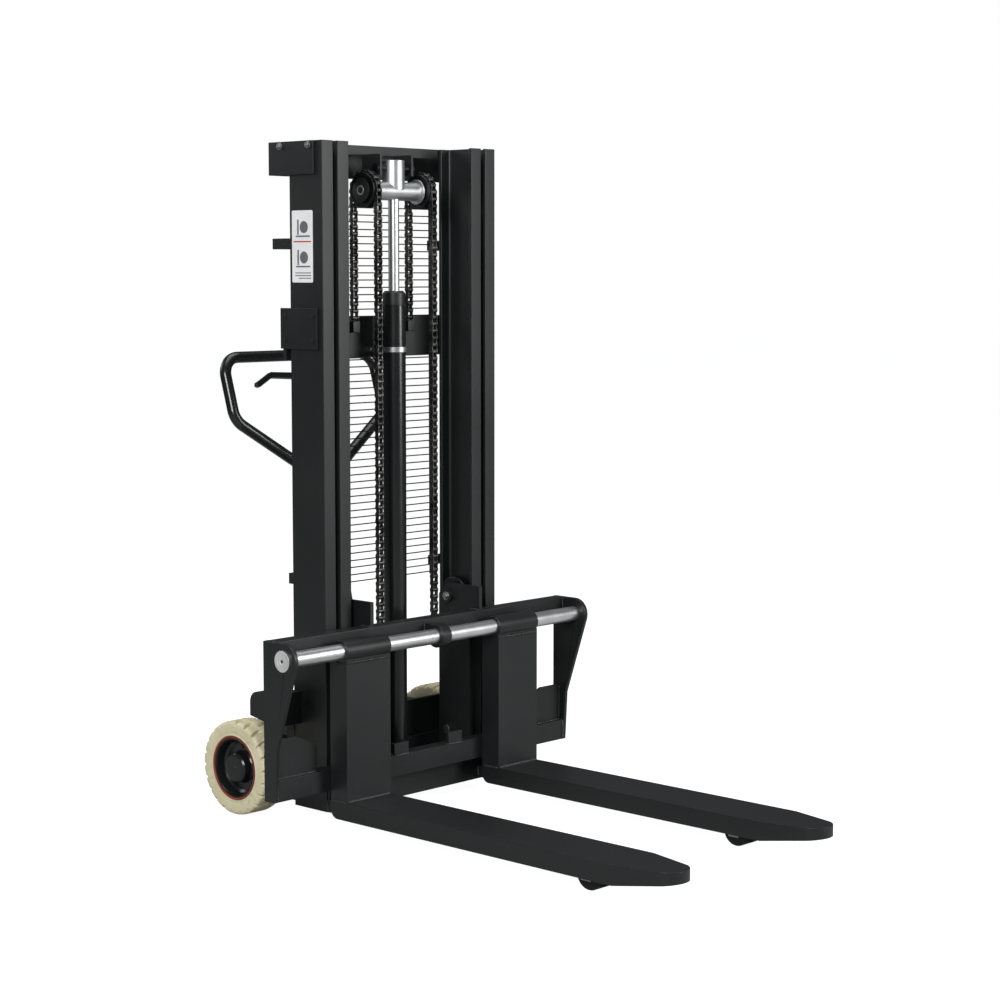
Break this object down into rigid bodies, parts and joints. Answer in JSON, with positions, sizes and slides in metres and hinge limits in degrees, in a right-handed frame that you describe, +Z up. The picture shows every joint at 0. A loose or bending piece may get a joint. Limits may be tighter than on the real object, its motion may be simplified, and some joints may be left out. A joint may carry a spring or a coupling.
{
  "type": "walkie stacker",
  "caption": "Hand-pumped pallet stacker: two-stage channel mast with chains and centre cylinder, skirted forks hung on a round shaft, loop tiller.",
  "frame": {"origin": "on the ground, at the middle of the machine's bounding box in plan", "axes": "+Z up, the forks point to -Y and the tiller is at +Y; X runs across, +X on the left hand of someone who holds the tiller and faces the mast"},
  "size_m": [1.148, 1.682, 1.83],
  "materials": {
    "black_paint": "satin",
    "gloss_black": "gloss",
    "chrome_steel": "polished",
    "bright_steel": "brushed",
    "dark_steel": "satin",
    "oiled_chain": "oiled",
    "tyre": "matte",
    "roller_nylon": "matte"
  },
  "bodies": {
    "root": {"left_outer_post": "black_paint", "right_outer_post": "black_paint", "top_crossbeam": "black_paint", "mid_crossbeam": "black_paint", "base_frame": "black_paint", "rear_cross_plate": "black_paint", "wrap_plates": "black_paint", "mast_bolts": "bright_steel", "rear_guard": "dark_steel", "cylinder_barrel": "gloss_black", "cylinder_gland": "black_paint", "cylinder_foot": "black_paint", "cylinder_strap": "bright_steel", "left_support_leg": "black_paint", "right_support_leg": "black_paint", "leg_axles": "bright_steel", "rear_chassis": "black_paint", "wheel_axle": "bright_steel", "wheel_guards": "black_paint", "pump_block": "black_paint", "tiller_bracket": "black_paint", "tiller_pin": "bright_steel", "hydraulic_pipe": "dark_steel"},
    "inner_mast": {"left_inner_post": "black_paint", "right_inner_post": "black_paint", "inner_top_beam": "black_paint", "inner_tie_beam": "black_paint", "crosshead_plates": "black_paint", "crosshead_pin": "bright_steel", "lift_rod": "chrome_steel", "crosshead": "chrome_steel", "front_chains": "oiled_chain", "rear_chains": "oiled_chain"},
    "chain_wheels": {"chain_wheels": "dark_steel"},
    "lower_mast_rollers": {"lower_mast_rollers": "dark_steel"},
    "upper_mast_rollers": {"upper_mast_rollers": "dark_steel"},
    "carriage": {"shaft_ears": "black_paint", "fork_shaft": "chrome_steel", "top_bar": "black_paint", "lower_bar": "black_paint", "carriage_uprights": "black_paint", "carriage_brackets": "black_paint", "chain_anchors": "oiled_chain"},
    "lower_carriage_rollers": {"lower_carriage_rollers": "dark_steel"},
    "upper_carriage_rollers": {"upper_carriage_rollers": "dark_steel"},
    "left_fork_sleeve": {"left_fork_sleeve": "black_paint"},
    "right_fork_sleeve": {"right_fork_sleeve": "black_paint"},
    "left_fork": {"left_fork": "black_paint"},
    "right_fork": {"right_fork": "black_paint"},
    "left_wheel": {"left_tyre": "tyre", "left_rim": "gloss_black"},
    "right_wheel": {"right_tyre": "tyre", "right_rim": "gloss_black"},
    "left_leg_roller": {"leg_rollers_left": "roller_nylon"},
    "right_leg_roller": {"leg_rollers_right": "roller_nylon"},
    "tiller": {"tiller_shaft": "black_paint", "tiller_handle": "gloss_black"},
    "release_lever": {"release_lever": "gloss_black"},
    "pump_plunger": {"pump_plunger": "bright_steel", "pump_spring": "bright_steel"}
  },
  "joints": [
    {"name": "mast_lift", "type": "slide", "parent": "root", "child": "inner_mast", "axis": [0, 0, 1], "range_m": [0, 1.05], "deforming": ["rear_chains"]},
    {"name": "carriage_lift", "type": "slide", "parent": "inner_mast", "child": "carriage", "axis": [0, 0, 1], "range_m": [0, 1.05], "deforming": ["front_chains"]},
    {"name": "left_fork_slide", "type": "slide", "parent": "carriage", "child": "left_fork_sleeve", "axis": [-1, 0, 0], "range_m": [-0.02, 0.02]},
    {"name": "right_fork_slide", "type": "slide", "parent": "carriage", "child": "right_fork_sleeve", "axis": [1, 0, 0], "range_m": [-0.02, 0.02]},
    {"name": "left_fork_tilt", "type": "hinge", "parent": "left_fork_sleeve", "child": "left_fork", "pos_m": [-0.291, 0.257, 0.492], "axis": [-1, 0, 0], "range_deg": [0, 75]},
    {"name": "right_fork_tilt", "type": "hinge", "parent": "right_fork_sleeve", "child": "right_fork", "pos_m": [0.291, 0.257, 0.492], "axis": [-1, 0, 0], "range_deg": [0, 75]},
    {"name": "left_wheel_spin", "type": "hinge", "parent": "root", "child": "left_wheel", "pos_m": [-0.3745, 0.642, 0.13], "axis": [1, 0, 0], "continuous": true},
    {"name": "right_wheel_spin", "type": "hinge", "parent": "root", "child": "right_wheel", "pos_m": [0.3745, 0.642, 0.13], "axis": [1, 0, 0], "continuous": true},
    {"name": "left_leg_roller_spin", "type": "hinge", "parent": "root", "child": "left_leg_roller", "pos_m": [-0.291, -0.571, 0.04], "axis": [1, 0, 0], "continuous": true},
    {"name": "right_leg_roller_spin", "type": "hinge", "parent": "root", "child": "right_leg_roller", "pos_m": [0.291, -0.571, 0.04], "axis": [1, 0, 0], "continuous": true},
    {"name": "tiller_pump", "type": "hinge", "parent": "root", "child": "tiller", "pos_m": [0, 0.591, 0.38], "axis": [-1, 0, 0], "range_deg": [0, 35], "stiffness_Nm_per_rad": 25, "springref_deg": -91.67},
    {"name": "pump_press", "type": "slide", "parent": "root", "child": "pump_plunger", "axis": [0, 0, -1], "range_m": [0, 0.0417], "deforming": ["pump_spring"]},
    {"name": "release_squeeze", "type": "hinge", "parent": "tiller", "child": "release_lever", "pos_m": [0, 0.80687, 1.18771], "axis": [0, 0.9563, -0.2924], "range_deg": [0, 10], "stiffness_Nm_per_rad": 4, "springref_deg": -28.65},
    {"name": "chain_wheel_turn", "type": "hinge", "parent": "inner_mast", "child": "chain_wheels", "pos_m": [0, 0.431, 1.706], "axis": [1, 0, 0], "range_deg": [-1253.85, 0]},
    {"name": "lower_mast_roller_turn", "type": "hinge", "parent": "inner_mast", "child": "lower_mast_rollers", "pos_m": [0, 0.424, 0.125], "axis": [1, 0, 0], "range_deg": [-1157.43, 0]},
    {"name": "upper_mast_roller_turn", "type": "hinge", "parent": "inner_mast", "child": "upper_mast_rollers", "pos_m": [0, 0.424, 0.47], "axis": [1, 0, 0], "range_deg": [0, 1157.43]},
    {"name": "lower_carriage_roller_turn", "type": "hinge", "parent": "carriage", "child": "lower_carriage_rollers", "pos_m": [0, 0.424, 0.178], "axis": [1, 0, 0], "range_deg": [-1157.43, 0]},
    {"name": "upper_carriage_roller_turn", "type": "hinge", "parent": "carriage", "child": "upper_carriage_rollers", "pos_m": [0, 0.424, 0.565], "axis": [1, 0, 0], "range_deg": [0, 1157.43]}
  ],
  "couplings": [
    {"joint": "carriage_lift", "follows": "mast_lift", "ratio": 1},
    {"joint": "pump_press", "follows": "tiller_pump", "m_per_rad": 0.068},
    {"joint": "chain_wheel_turn", "follows": "mast_lift", "rad_per_m": -20.833},
    {"joint": "lower_mast_roller_turn", "follows": "mast_lift", "rad_per_m": -19.231},
    {"joint": "upper_mast_roller_turn", "follows": "mast_lift", "rad_per_m": 19.231},
    {"joint": "lower_carriage_roller_turn", "follows": "mast_lift", "rad_per_m": -19.231},
    {"joint": "upper_carriage_roller_turn", "follows": "mast_lift", "rad_per_m": 19.231}
  ]
}
